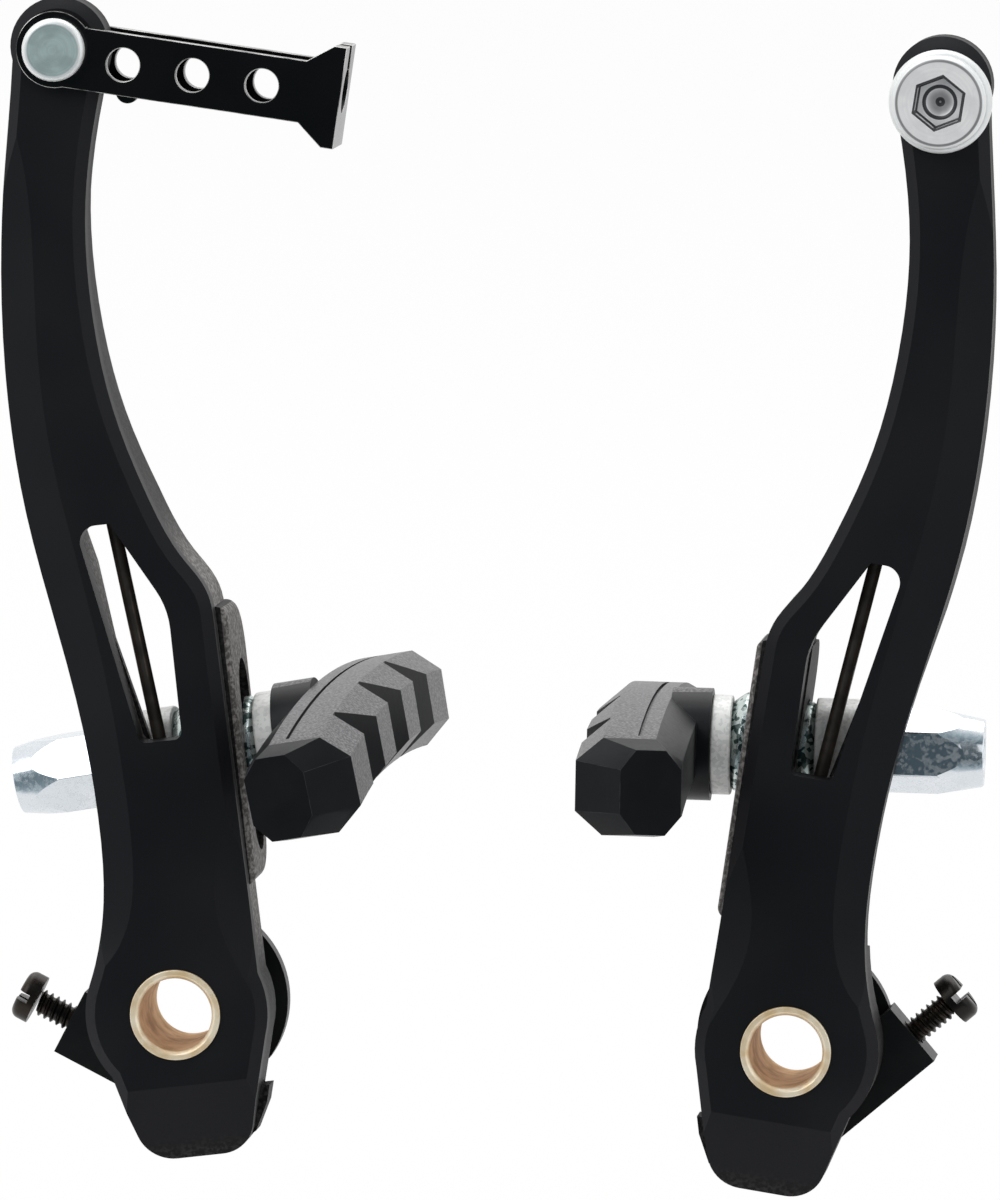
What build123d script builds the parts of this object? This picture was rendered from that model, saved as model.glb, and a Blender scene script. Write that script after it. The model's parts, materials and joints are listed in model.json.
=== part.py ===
from build123d import *

import math
import os

# A rim brake of two mirrored arms, each turning on a frame post.
# Row frame: origin on the left post's axis where the bush meets the frame, +X to the right arm,
# +Y towards the frame, +Z up. Each arm is drawn in its own frame: +X inward to the rim, +Z along the arm.

# Posts and bushes
POST_SPACING = 67.4
BUSH_BORE_R = 4.025
BUSH_WALL = 0.975
BUSH_LENGTH = 16.3
RUN_GAP = 0.05

# Arm body: depths are measured from the frame side towards the viewer
FACE_DEPTH = 16.0
BACK_DEPTH = 4.0
BOSS_BACK_DEPTH = 7.0
BOSS_STEP_UP = 13.0
BOSS_RAMP = 3.0
PLATE = 3.8
FRONT_BEVEL = 1.2
BOSS_R = 10.1
HEAD_R = 5.4
HEAD_UP = 107.2
HEAD_IN = 0.2
HEAD_THICK = 5.6
HEAD_STEP_UP = 91.0
HEAD_RAMP = 34.0
KNEE_UP = 43.5
SIDE_IN = 9.4
FOOT_DROP = 16.3
FOOT_IN = 5.9
FOOT_OUT = 5.3
FOOT_CREASE = 7.9
FOOT_SLOPE = 4.4
FOOT_CORNER_R = 4.0
HEEL_UP = -9.4
HEEL_IN = 8.8
HEEL_FACE = 0.6
HEEL_SHORT = 1.0
OUTER_BEVEL = 4.0
INNER_BEVEL = 3.2
BEVEL_SLOPE = 0.42
BEVEL_ROOM = 2.0
LEFT_LEAN = 9.65
RIGHT_LEAN = 6.35

# Window and back channel of the arm
WINDOW_LOW = 30.2
WINDOW_HIGH = 54.6
WINDOW_OUT_LOW = -0.2
WINDOW_OUT_HIGH = -4.45
WINDOW_IN = 4.5
WINDOW_KNEE_IN = 4.7
WINDOW_KNEE_UP = 44.7
WINDOW_TOP_IN = -0.6
WINDOW_KNEE_R = 9.0
WINDOW_TOP_R = 1.9
WINDOW_CORNER_R = 0.9
CHANNEL_LOW = 12.4
CHANNEL_LEDGE = 0.6
LEG_END_ROOM = 2.0

# Slotted shoe flange
FLANGE_THICK = 6.1
FLANGE_IN = 7.3
FLANGE_UP = 26.7
FLANGE_RISE = 1.8
FLANGE_LENGTH = 31.0
FLANGE_EDGE_R = 1.2
FLANGE_FRONT_DEPTH = 12.5
FLANGE_BACK = 2.4
FLANGE_LEAN = 0.7
FLANGE_CORNER_R = 6.0
SLOT_LENGTH = 21.4
SLOT_WIDTH = 7.6
STUD_DEPTH = 4.0
HARDWARE_GAP = 0.8
HARDWARE_REACH = 14.9
HARDWARE_RISE = 8.0

# Shoe hardware, measured outward from the middle of the flange along the stud
STUD_R = 3.0
STUD_HOLE_GAP = 0.1
BALL_R = 6.6
BALL_GAP = 0.06
WASHER_R = 5.5
DOME_HOLE_R = 4.3
CUP_MOUTH = 4.6
THIN_CUP = 2.25
THICK_CUP = 6.0
FLAT_WASHER = 1.2
FLAT_WASHER_R = 5.2
NUT_LENGTH = 11.4
NUT_FLATS = 8.2
NUT_TAPER = 5.4
NUT_END_R = 3.7
NUT_WALL = 4.2
SOCKET_FLATS = 5.0
SOCKET_DEPTH = 3.4

# Brake pad
PAD_BOSS = 1.5
PAD_BOSS_R = 6.2
PAD_THICK = 11.6
PAD_HEIGHT = 10.8
PAD_LENGTH = 62.4
PAD_FACE_HEIGHT = 5.6
PAD_BACK_HEIGHT = 6.0
PAD_CHAMFER = 2.95
RIM_R = 275.0
PAD_END_RISE = 2.4
PAD_END_THICK = 6.6
PAD_END_HEIGHT = 9.4
PAD_GROOVES = 3
GROOVE_PITCH = 17.0
GROOVE_WIDTH = 9.0
GROOVE_FLOOR = 1.2
GROOVE_DEEP = 3.0
SEAM = 0.4
SEAM_SHARE = 0.95
SEAM_BACK = 1.0
STUD_SEAT = 4.0

# How each shoe is set: slot position, tilt, toe and turn
LEFT_STUD_UP = 27.6
LEFT_TILT = 2.85
LEFT_TOE = 3.4
LEFT_TURN = 2.4
LEFT_NUT_TURN = 30.0
RIGHT_STUD_UP = 31.6
RIGHT_TILT = -7.65
RIGHT_TOE = 1.8
RIGHT_TURN = -0.3
RIGHT_NUT_TURN = 0.0

# Spring holder and its screw
HOLDER_DEPTH = 6.1
HOLDER_PLATE = 2.4
HOLDER_R = 10.9
HOLDER_CUT = 6.0
HUB_WALL = 0.9
RIM_WALL = 1.3
COIL_R = 6.9
COIL_ROOM = 1.4
WIRE_R = 0.75
WIRE_DEPTH = 4.6
EAR_WIDTH = 7.5
EAR_REACH = 10.6
EAR_BACK = 3.0
SCREW_OFFSET = 7.9
SCREW_DEPTH = 3.4
SCREW_R = 1.5
LEFT_SCREW_SHOW = 4.4
RIGHT_SCREW_SHOW = 5.2
SCREW_LENGTH = 11.6
SCREW_HEAD_R = 2.8
SCREW_HEAD = 2.1
RECESS_WIDTH = 1.0
RECESS_DEEP = 1.3
LEFT_SCREW_DROP = 24.6
RIGHT_SCREW_DROP = 42.8
PIN_R = 1.1
PIN_SHOULDER = 0.35
PIN_COLLAR = 0.4
PIN_UP = 9.0
PIN_REACH = 4.5
HOOK_GAP = 0.5

# Return spring leg
LEG_ANGLE = 20.0
LEG_BEND_UP = 13.0
LEG_BEND_STEP = 1.2
LEG_DEPTH = 11.1
LEG_TOP_UP = 63.0
LEG_WINDOW_UP = 20.0
LEG_WINDOW_IN = 2.3
LEG_SLOPE = 0.092
LEG_BEND_R = 6.0

# Cable guide bracket and rivet on the left head
RIVET_UP = 107.0
RIVET_R = 2.4
RIVET_HEAD_R = 3.45
RIVET_HEAD = 1.3
SHEET = 1.4
SIDE_GAP = 0.3
CHEEK_TOP = 2.85
CHEEK_FOOT = 3.95
EYE_R = 4.2
BRACKET_LENGTH = 31.8
BRACKET_DROP = 15.05
END_HIGH = 4.9
END_LOW = 6.3
END_FLARE = 2.8
LIGHT_HOLES = 3
LIGHT_HOLE_R = 1.85
LIGHT_PITCH = 7.7
KEYHOLE_R = 2.5
KEYHOLE_SLOT = 2.4
LUG_R = 1.3

# Cable anchor on the right head
ANCHOR_UP = 105.6
ANCHOR_R = 3.0
ANCHOR_HEAD_R = 5.1
ANCHOR_HEAD = 2.3
ANCHOR_WASHER_R = 5.65
ANCHOR_WASHER = 1.3
ANCHOR_SOCKET = 2.0
ANCHOR_DRILL_R = 1.7
ANCHOR_DRILL = 0.9
ANCHOR_TIP = 1.6

BUSH_R = BUSH_BORE_R + BUSH_WALL
FLANGE_HALF = FLANGE_THICK / 2
CUT = 60.0


def rod(radius, start, end):
    """A cylinder along X between two stations."""
    return Pos((start + end) / 2, 0, 0) * Rot(0, 90, 0) * Cylinder(radius, abs(end - start))


def post(radius, front, back):
    """A cylinder along Y between two depths, front nearer the viewer."""
    return Pos(0, -(front + back) / 2, 0) * Rot(90, 0, 0) * Cylinder(radius, abs(front - back))


def plate(face, front, back):
    """A face drawn in an arm's own X and Z, made solid between two depths."""
    return extrude(Plane.XZ.offset(back) * face, front - back)


def side_cut(points):
    """A cut across the arm from a Y and Z outline."""
    outline = make_face(Polyline(*points, close=True))
    return extrude(Plane.YZ.offset(-CUT / 2) * outline, CUT)


def on_circle(centre, radius, angle):
    """A point on a circle at an angle in degrees."""
    turn = math.radians(angle)
    return (centre[0] + radius * math.cos(turn), centre[1] + radius * math.sin(turn))


def limb_point(across, along):
    """A point of the limb's edge, as shares of the arm's side and of its length."""
    return (across * SIDE_IN, along * HEAD_UP)


def outer_edge():
    """The limb's outer edge between the head and the boss."""
    shares = [(-0.883, 0.84), (-1.096, 0.644), (-1.053, 0.532), (-0.894, 0.429), (-0.69, 0.3), (-0.64, 0.215),
              (-0.69, 0.127)]
    return [limb_point(across, along) for across, along in shares]


def arm_outline():
    """The arm's front outline, from the foot round the boss, limb and head."""
    head = (HEAD_IN, HEAD_UP)
    head_in = on_circle(head, HEAD_R, -20)
    head_out = on_circle(head, HEAD_R, 190)
    boss_out = on_circle((0, 0), BOSS_R, 155)
    foot_out = on_circle((0, 0), BOSS_R, 218)
    foot_in = on_circle((0, 0), BOSS_R, -20)
    side_in = on_circle((0, 0), BOSS_R, 20)
    inner = Spline(
        (SIDE_IN, KNEE_UP), limb_point(0.72, 0.466), limb_point(0.39, 0.536), limb_point(0.145, 0.616),
        limb_point(0.02, 0.728), limb_point(0.105, 0.84), head_in, tangents=((0, 1), (0.34, 0.94)))
    outer = Spline(head_out, *outer_edge(), boss_out, tangents=((-0.17, -0.98), (-0.42, -0.91)))
    edges = [
        Line(side_in, (SIDE_IN, KNEE_UP)),
        inner,
        ThreePointArc(head_in, on_circle(head, HEAD_R, 85), head_out),
        outer,
        ThreePointArc(boss_out, (-BOSS_R, 0), foot_out),
        Line(foot_out, (-FOOT_OUT, -FOOT_DROP)),
        Line((-FOOT_OUT, -FOOT_DROP), (FOOT_IN, -FOOT_DROP)),
        Line((FOOT_IN, -FOOT_DROP), foot_in),
        ThreePointArc(foot_in, (BOSS_R, 0), side_in),
    ]
    face = make_face(edges)
    corners = face.vertices().sort_by(Axis.Y)[:2]
    return fillet(corners, FOOT_CORNER_R)


def bevel_cut(stations, slope):
    """A long sloped cut at the front; each station gives its height, the edge there and the bevel's width."""
    sections = []
    for up, edge, width in stations:
        out = math.copysign(1, edge)
        crease = edge - out * width
        high = -FACE_DEPTH - slope * BEVEL_ROOM
        low = -FACE_DEPTH + slope * (width + BEVEL_ROOM)
        points = [(crease - out * BEVEL_ROOM, high), (edge + out * BEVEL_ROOM, high), (edge + out * BEVEL_ROOM, low)]
        sections.append(Plane.XY.offset(up) * make_face(Polyline(*points, close=True)))
    return loft(sections)


def limb_bevel():
    """The bevel down the limb's outer side, from nothing at the head to nothing at the boss."""
    start = limb_point(-0.66, 0.95)
    stop = limb_point(-0.95, 0.045)
    widths = [0, 0.8, 1, 1.1, 1.1, 0.95, 0.9, 0.85, 0]
    stations = []
    for (edge, up), share in zip([start, *outer_edge(), stop], widths):
        stations.append((up, edge, share * OUTER_BEVEL))
    return bevel_cut(stations, BEVEL_SLOPE)


def boss_bevel():
    """The bevel up the inner side of the boss."""
    reach = KNEE_UP / 5
    stations = [
        (3 * reach, SIDE_IN, 0), (2 * reach, SIDE_IN, INNER_BEVEL * 0.8), (reach, SIDE_IN, INNER_BEVEL),
        (reach / 3, BOSS_R, INNER_BEVEL * 0.6), (-reach / 2, BOSS_R, 0)]
    return bevel_cut(stations, BEVEL_SLOPE)


def heel():
    """The ledge that stands out behind the foot's inner side."""
    points = [
        (0, HEEL_UP), (HEEL_IN, HEEL_UP), (HEEL_IN * 0.94, HEEL_UP * 1.2), (HEEL_IN * 0.76, HEEL_UP * 1.52),
        (HEEL_IN * 0.55, HEEL_SHORT - FOOT_DROP), (0, HEEL_SHORT - FOOT_DROP)]
    return plate(make_face(Polyline(*points, close=True)), FACE_DEPTH - FOOT_SLOPE - HEEL_FACE, BOSS_BACK_DEPTH)


def window_outline():
    """The tapered window through the arm's front plate."""
    points = [
        (WINDOW_OUT_LOW, WINDOW_LOW), (WINDOW_IN, WINDOW_LOW), (WINDOW_KNEE_IN, WINDOW_KNEE_UP),
        (WINDOW_TOP_IN, WINDOW_HIGH), (WINDOW_OUT_HIGH, WINDOW_HIGH)]
    face = make_face(Polyline(*points, close=True))
    face = fillet(face.vertices().sort_by(Axis.X)[-1], WINDOW_KNEE_R)
    face = fillet(face.vertices().sort_by(Axis.Y)[:2], WINDOW_CORNER_R)
    face = fillet(face.vertices().sort_by(Axis.X)[0], WINDOW_TOP_R)
    return fillet(face.vertices().sort_by(Axis.Y)[-1], WINDOW_CORNER_R)


def leg_top():
    """Where the spring's leg ends, in the arm's frame."""
    return (LEG_WINDOW_IN - LEG_SLOPE * (LEG_TOP_UP - LEG_WINDOW_UP), LEG_TOP_UP)


def channel_outline():
    """The channel at the back of the arm that the spring's leg lies in."""
    end_in, end_up = leg_top()
    top = end_up + LEG_END_ROOM
    points = [
        (WINDOW_OUT_LOW - CHANNEL_LEDGE, CHANNEL_LOW), (WINDOW_IN, CHANNEL_LOW),
        (WINDOW_KNEE_IN, WINDOW_KNEE_UP), (end_in + 2 * LEG_END_ROOM, WINDOW_HIGH - CHANNEL_LEDGE),
        (end_in + LEG_END_ROOM, top), (end_in - WIRE_R - CHANNEL_LEDGE, top),
        (WINDOW_OUT_HIGH - CHANNEL_LEDGE, WINDOW_HIGH), (WINDOW_OUT_LOW + CHANNEL_LEDGE, WINDOW_LOW)]
    face = make_face(Polyline(*points, close=True))
    return fillet(face.vertices(), WINDOW_CORNER_R)


def flange_frame():
    """The middle of the shoe flange: X along its normal, Z along its slot."""
    return Pos(FLANGE_IN, -STUD_DEPTH, FLANGE_UP) * Rot(0, FLANGE_LEAN, 0)


def shoe_flange():
    """The slotted plate that carries the shoe, before its slot is cut."""
    front = STUD_DEPTH - FLANGE_FRONT_DEPTH
    back = STUD_DEPTH + FLANGE_BACK
    outline = Pos((front + back) / 2, FLANGE_RISE) * Rectangle(back - front, FLANGE_LENGTH)
    outline = fillet(outline.vertices().sort_by(Axis.X)[-2:], FLANGE_CORNER_R)
    flange = extrude(Plane.YZ.offset(-FLANGE_HALF) * outline, FLANGE_THICK)
    return fillet(flange.faces().sort_by(Axis.X)[-1].edges(), FLANGE_EDGE_R)


def arm(pin_up, pin_r):
    """One forged arm with its bores, window, channel and slotted flange."""
    body = plate(arm_outline(), FACE_DEPTH, BACK_DEPTH)
    body = chamfer(body.faces().sort_by(Axis.Y)[0].edges(), FRONT_BEVEL)
    body -= limb_bevel()
    body -= boss_bevel()
    body += heel()
    floor = FACE_DEPTH - PLATE
    body -= plate(channel_outline(), floor, -CUT)
    room = -WASHER_R - HARDWARE_GAP
    top = HARDWARE_REACH + HARDWARE_RISE
    hardware = side_cut([
        (room, -HARDWARE_REACH), (room, HARDWARE_REACH), (0, top), (CUT, top), (CUT, -HARDWARE_REACH)])
    body -= flange_frame() * Pos(-CUT / 2 - FLANGE_HALF, 0, 0) * hardware
    body += flange_frame() * shoe_flange()
    slot = Rot(0, 0, 90) * SlotOverall(SLOT_LENGTH, SLOT_WIDTH)
    body -= flange_frame() * extrude(Plane.YZ.offset(-CUT / 2) * slot, CUT)
    body -= plate(window_outline(), CUT, floor - CHANNEL_LEDGE)
    low = BOSS_STEP_UP
    body -= side_cut([
        (-BOSS_BACK_DEPTH, -CUT), (-BOSS_BACK_DEPTH, low), (-BACK_DEPTH, low + BOSS_RAMP),
        (CUT, low + BOSS_RAMP), (CUT, -CUT)]) - flange_frame() * shoe_flange()
    step = HEAD_STEP_UP
    thin = HEAD_THICK - FACE_DEPTH
    body -= side_cut([
        (-BACK_DEPTH, step - HEAD_RAMP), (thin, step), (thin, step + CUT),
        (CUT, step + CUT), (CUT, step - HEAD_RAMP)])
    body -= side_cut([
        (-FACE_DEPTH, -FOOT_CREASE), (FOOT_SLOPE - FACE_DEPTH, -FOOT_DROP - 1),
        (-CUT, -FOOT_DROP - 1), (-CUT, -FOOT_CREASE)])
    body -= post(BUSH_R, CUT, -CUT)
    body -= Pos(0, 0, pin_up) * post(pin_r, CUT, -CUT)
    return body


def pivot_bush():
    """The brass sleeve, with its bore opened out a little at the front."""
    sleeve = post(BUSH_R, BUSH_LENGTH, 0) - post(BUSH_BORE_R, CUT, -CUT)
    mouth = sleeve.faces().sort_by(Axis.Y)[0].edges().sort_by(SortBy.RADIUS)[0]
    return chamfer(mouth, BUSH_WALL * 0.4)


def spring_holder(drop):
    """The moulded cup behind the boss; its ear's screw line falls by drop degrees."""
    hub_r = BUSH_R + RUN_GAP + HUB_WALL
    rim_in = COIL_R + COIL_ROOM
    rim_out = rim_in + RIM_WALL
    ear_length = EAR_REACH + EAR_BACK
    ear = Pos((EAR_BACK - EAR_REACH) / 2, -HOLDER_DEPTH / 2, -SCREW_OFFSET)
    ear = Rot(0, drop, 0) * ear * Box(ear_length, HOLDER_DEPTH, EAR_WIDTH)
    rim = post(rim_out, HOLDER_DEPTH, 0)
    disc = post(HOLDER_R, HOLDER_PLATE, 0)
    low_side = Pos(CUT / 2, 0, -CUT / 2 - HOLDER_CUT) * Box(CUT, CUT, CUT)
    disc -= low_side - post(rim_out, CUT, -CUT)
    leg_side = Pos(CUT / 2, -CUT / 2 - HOLDER_PLATE, CUT / 2 - hub_r / 2) * Box(CUT, CUT, CUT)
    cup = rim + disc + ear
    cup -= post(rim_in, CUT, HOLDER_PLATE)
    cup -= leg_side
    cup += post(hub_r, HOLDER_DEPTH, 0)
    cup -= post(BUSH_R + RUN_GAP, CUT, -CUT)
    cup -= Rot(0, drop, 0) * Pos(0, -SCREW_DEPTH, -SCREW_OFFSET) * rod(SCREW_R + RUN_GAP, -CUT, 0)
    return cup - Pos(0, 0, PIN_UP) * post(PIN_R + PIN_SHOULDER, CUT, -CUT)


def holder_pin():
    """The steel pin that goes into the frame beside the post."""
    stem = post(PIN_R + PIN_SHOULDER, HOLDER_PLATE, -PIN_COLLAR)
    return Pos(0, 0, PIN_UP) * (stem + post(PIN_R, HOLDER_PLATE, -PIN_COLLAR - PIN_REACH))


def tension_screw(drop, show):
    """The small cross-recess screw in the holder's ear."""
    under = -EAR_REACH - show
    head = rod(SCREW_HEAD_R, under - SCREW_HEAD, under)
    head = fillet(head.edges().filter_by(GeomType.CIRCLE).sort_by(Axis.X)[0], SCREW_HEAD * 0.45)
    screw = head + rod(SCREW_R, under, under + SCREW_LENGTH)
    recess = Pos(under - SCREW_HEAD, 0, 0)
    screw -= recess * Box(2 * RECESS_DEEP, 3 * SCREW_HEAD_R, RECESS_WIDTH)
    screw -= recess * Box(2 * RECESS_DEEP, RECESS_WIDTH, 1.5 * SCREW_HEAD_R)
    return Rot(0, drop, 0) * Pos(0, -SCREW_DEPTH, -SCREW_OFFSET) * screw


def return_spring(drop, lean, show):
    """The bent wire: round the hub from the screw's tip, then up the arm's channel."""
    tip = EAR_REACH + show - SCREW_LENGTH
    start = 270 - drop - lean - math.degrees(math.asin((tip - HOOK_GAP) / COIL_R))
    end = 360 + LEG_ANGLE
    section = Pos(COIL_R, 0) * Circle(WIRE_R)
    ring = revolve(Plane.XY * section, Axis.Y, revolution_arc=end - start)
    ring = Pos(0, -WIRE_DEPTH, 0) * Rot(0, -end, 0) * ring
    leave = on_circle((0, 0), COIL_R, LEG_ANGLE)
    run = LEG_BEND_UP - leave[1]
    bend_in = leave[0] - run * math.tan(math.radians(LEG_ANGLE))
    top_in, top_up = leg_top()
    path = FilletPolyline(
        (leave[0], -WIRE_DEPTH, leave[1]), (bend_in, -WIRE_DEPTH - LEG_BEND_STEP, LEG_BEND_UP),
        (LEG_WINDOW_IN, -LEG_DEPTH, LEG_WINDOW_UP), (top_in, -LEG_DEPTH, top_up),
        radius=LEG_BEND_R)
    leg = sweep(Plane(path @ 0, z_dir=path % 0) * Circle(WIRE_R), path)
    knuckle = Pos(leave[0], -WIRE_DEPTH, leave[1]) * Sphere(WIRE_R)
    return ring + knuckle + leg


def dome_washer(side):
    """A washer that is flat on the flange and round outside; side is 1 inward and -1 outward."""
    dome = Sphere(BALL_R) & rod(WASHER_R, side * FLANGE_HALF, side * BALL_R)
    return dome - rod(DOME_HOLE_R, -CUT, CUT)


def cup_washer(side, thick):
    """A washer with a hollow that tilts on the dome."""
    hollow = BALL_R + BALL_GAP
    hole = STUD_R + STUD_HOLE_GAP
    end = CUP_MOUTH + thick
    lip = (CUP_MOUTH, math.sqrt(hollow ** 2 - CUP_MOUTH ** 2))
    throat = (math.sqrt(hollow ** 2 - hole ** 2), hole)
    lean = math.atan2(lip[1], lip[0]) + math.atan2(throat[1], throat[0])
    middle = on_circle((0, 0), hollow, math.degrees(lean) / 2)
    outer = Polyline(lip, (CUP_MOUTH, WASHER_R), (end, WASHER_R), (end, hole), throat)
    section = make_face([*outer.edges(), ThreePointArc(throat, middle, lip)])
    cup = revolve(Plane.XZ * section, Axis.X)
    return cup if side > 0 else mirror(cup, Plane.YZ)


def flat_washer():
    """The plain washer between the thick cup and the nut."""
    start = -CUP_MOUTH - THICK_CUP
    return rod(FLAT_WASHER_R, start, start - FLAT_WASHER) - rod(STUD_R + STUD_HOLE_GAP, -CUT, CUT)


def nut_seat():
    """The station along the stud where the nut bears on its washer."""
    return -CUP_MOUTH - THICK_CUP - FLAT_WASHER


def hex_rod(flats, start, end):
    """A hexagonal bar along X between two stations."""
    outline = Rot(0, 0, 90) * RegularPolygon(flats / 2, 6, major_radius=False)
    return Pos(min(start, end), 0, 0) * extrude(Plane.YZ * outline, abs(end - start))


def cap_nut():
    """The long hexagonal nut with a tapered nose and a key socket in its end."""
    seat = nut_seat()
    end = seat - NUT_LENGTH
    nut = hex_rod(NUT_FLATS, end, seat)
    corner = NUT_FLATS / math.sqrt(3)
    nose = Pos(end + NUT_TAPER / 2, 0, 0) * Rot(0, 90, 0) * Cone(NUT_END_R, corner, NUT_TAPER)
    nut &= nose + rod(corner, end + NUT_TAPER, seat)
    nut -= hex_rod(SOCKET_FLATS, end, end + SOCKET_DEPTH)
    return nut - rod(STUD_R, end + NUT_WALL, seat)


def shoe_stud():
    """The threaded stud, from inside the nut to inside the pad."""
    pad_back = CUP_MOUTH + THIN_CUP
    return rod(STUD_R, nut_seat() - NUT_LENGTH + NUT_WALL + RUN_GAP, pad_back + PAD_BOSS + STUD_SEAT)


def brake_pad():
    """The moulded rubber pad, curved to the rim, with drain grooves across its face."""
    boss_start = CUP_MOUTH + THIN_CUP
    back = boss_start + PAD_BOSS
    front = back + PAD_THICK
    top = PAD_HEIGHT / 2
    face = PAD_FACE_HEIGHT / 2
    rear = PAD_BACK_HEIGHT / 2
    middle = (front + back) / 2
    half = [(front, face), (front - PAD_CHAMFER, top), (back + PAD_CHAMFER, top), (back, rear)]
    ring = half + [(x, -z) for x, z in reversed(half)]
    section = make_face(Polyline(*ring, close=True))
    thin = PAD_END_THICK / PAD_THICK
    low = PAD_END_HEIGHT / PAD_HEIGHT
    small = make_face(Polyline(*[(back + thin * (x - back), low * z) for x, z in ring], close=True))
    hub = Axis((0, 0, -RIM_R), (1, 0, 0))
    sweep_angle = math.degrees(PAD_LENGTH / RIM_R)
    pad = revolve(Plane.XZ * section, hub, revolution_arc=sweep_angle).rotate(hub, -sweep_angle / 2)
    rise = math.degrees(PAD_END_RISE / RIM_R)
    for end in (-1, 1):
        wide = (Plane.XZ * section).rotate(hub, end * sweep_angle / 2)
        tip = (Plane.XZ * small).rotate(hub, end * (sweep_angle / 2 + rise))
        pad += loft([wide, tip])
    pad += rod(PAD_BOSS_R, boss_start, back + PAD_CHAMFER)
    seam_at = middle - SEAM_BACK
    for side in (-1, 1):
        seam = Pos(seam_at, side * top) * Rectangle(SEAM, 2 * SEAM)
        run = sweep_angle * SEAM_SHARE
        pad -= revolve(Plane.XZ * seam, hub, revolution_arc=run).rotate(hub, -run / 2)
    ramp = (GROOVE_WIDTH - GROOVE_FLOOR) / GROOVE_DEEP
    floor = front - GROOVE_DEEP
    lip = front + BEVEL_ROOM
    near = -GROOVE_WIDTH / 2
    outline = [(lip, near), (floor, near), (floor, near + GROOVE_FLOOR), (lip, ramp * BEVEL_ROOM - near)]
    groove = extrude(make_face(Polyline(*outline, close=True)), PAD_HEIGHT, both=True)
    for step in range(PAD_GROOVES):
        along = (step - (PAD_GROOVES - 1) / 2) * GROOVE_PITCH
        pad -= groove.rotate(hub, -math.degrees(along / RIM_R))
    return pad - rod(STUD_R, 0, back + STUD_SEAT)


def cable_bracket():
    """The folded sheet: two cheeks on the rivet, joined by a flared end plate with a keyhole."""
    middle = (CHEEK_TOP - CHEEK_FOOT) / 2
    fold = BRACKET_LENGTH - SHEET
    upper = [(0, CHEEK_TOP), (fold - END_FLARE, CHEEK_TOP), (fold, END_HIGH), (BRACKET_LENGTH, END_HIGH)]
    lower = [(BRACKET_LENGTH, -END_LOW), (fold, -END_LOW), (fold - END_FLARE, -CHEEK_FOOT), (0, -CHEEK_FOOT)]
    outline = make_face(Polyline(*upper, *lower, close=True))
    outline += Circle(EYE_R)
    outline -= Circle(RIVET_R + RUN_GAP)
    for hole in range(LIGHT_HOLES):
        outline -= Pos((hole + 1) * LIGHT_PITCH, middle) * Circle(LIGHT_HOLE_R)
    front_in = FACE_DEPTH + SIDE_GAP
    back_in = FACE_DEPTH - HEAD_THICK - SIDE_GAP
    front_cheek = plate(outline, front_in + SHEET, front_in)
    rear_outline = outline + Pos(LIGHT_PITCH, -CHEEK_FOOT) * Circle(LUG_R)
    rear_outline -= Pos(LIGHT_PITCH, middle) * Circle(LIGHT_HOLE_R)
    rear_cheek = plate(rear_outline, back_in, back_in - SHEET)
    between = -(front_in + back_in) / 2
    end = Pos(BRACKET_LENGTH - SHEET / 2, between, (END_HIGH - END_LOW) / 2)
    end = end * Box(SHEET, front_in - back_in, END_HIGH + END_LOW)
    keyhole = rod(KEYHOLE_R, 0, CUT)
    keyhole += Pos(CUT / 2, 0, CUT / 2) * Box(CUT, KEYHOLE_SLOT, CUT)
    end -= Pos(fold - SHEET, between, 0) * keyhole
    bracket = front_cheek + rear_cheek + end
    return Pos(0, 0, RIVET_UP) * Rot(0, BRACKET_DROP, 0) * bracket


def bracket_rivet():
    """The rivet through both cheeks and the arm's head."""
    front = FACE_DEPTH + 2 * SIDE_GAP + SHEET
    back = FACE_DEPTH - HEAD_THICK - 2 * SIDE_GAP - SHEET
    button = post(RIVET_HEAD_R, front + RIVET_HEAD, front)
    button = fillet(button.edges().filter_by(GeomType.CIRCLE).sort_by(Axis.Y)[0], RIVET_HEAD * 0.5)
    rivet = button + post(RIVET_R, front, back) + post(RIVET_HEAD_R * 0.85, back, back - RIVET_HEAD * 0.7)
    return Pos(0, 0, RIVET_UP) * rivet


def anchor_washer():
    """The clamp washer that grips the cable against the arm."""
    ring = post(ANCHOR_WASHER_R, FACE_DEPTH + ANCHOR_WASHER, FACE_DEPTH)
    ring = chamfer(ring.edges().filter_by(GeomType.CIRCLE).sort_by(Axis.Y)[0], ANCHOR_WASHER * 0.35)
    return Pos(0, 0, ANCHOR_UP) * (ring - post(ANCHOR_R, CUT, -CUT))


def anchor_bolt():
    """The cable anchor bolt with a wide flat head and a key socket."""
    under = FACE_DEPTH + ANCHOR_WASHER
    top = under + ANCHOR_HEAD
    head = post(ANCHOR_HEAD_R, top, under)
    head = chamfer(head.edges().filter_by(GeomType.CIRCLE).sort_by(Axis.Y)[0], ANCHOR_HEAD * 0.2)
    tip = FACE_DEPTH - HEAD_THICK - ANCHOR_TIP
    bolt = head + post(ANCHOR_R, under, tip)
    bolt = chamfer(bolt.faces().sort_by(Axis.Y)[-1].edges(), ANCHOR_R * 0.2)
    socket = Rot(0, 0, 90) * hex_rod(SOCKET_FLATS, -top - 1, -top + ANCHOR_SOCKET)
    drill = Cone(ANCHOR_DRILL_R, ANCHOR_DRILL_R / 5, ANCHOR_DRILL)
    socket += Pos(0, ANCHOR_SOCKET + ANCHOR_DRILL / 2 - top, 0) * Rot(-90, 0, 0) * drill
    return Pos(0, 0, ANCHOR_UP) * (bolt - socket)


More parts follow.
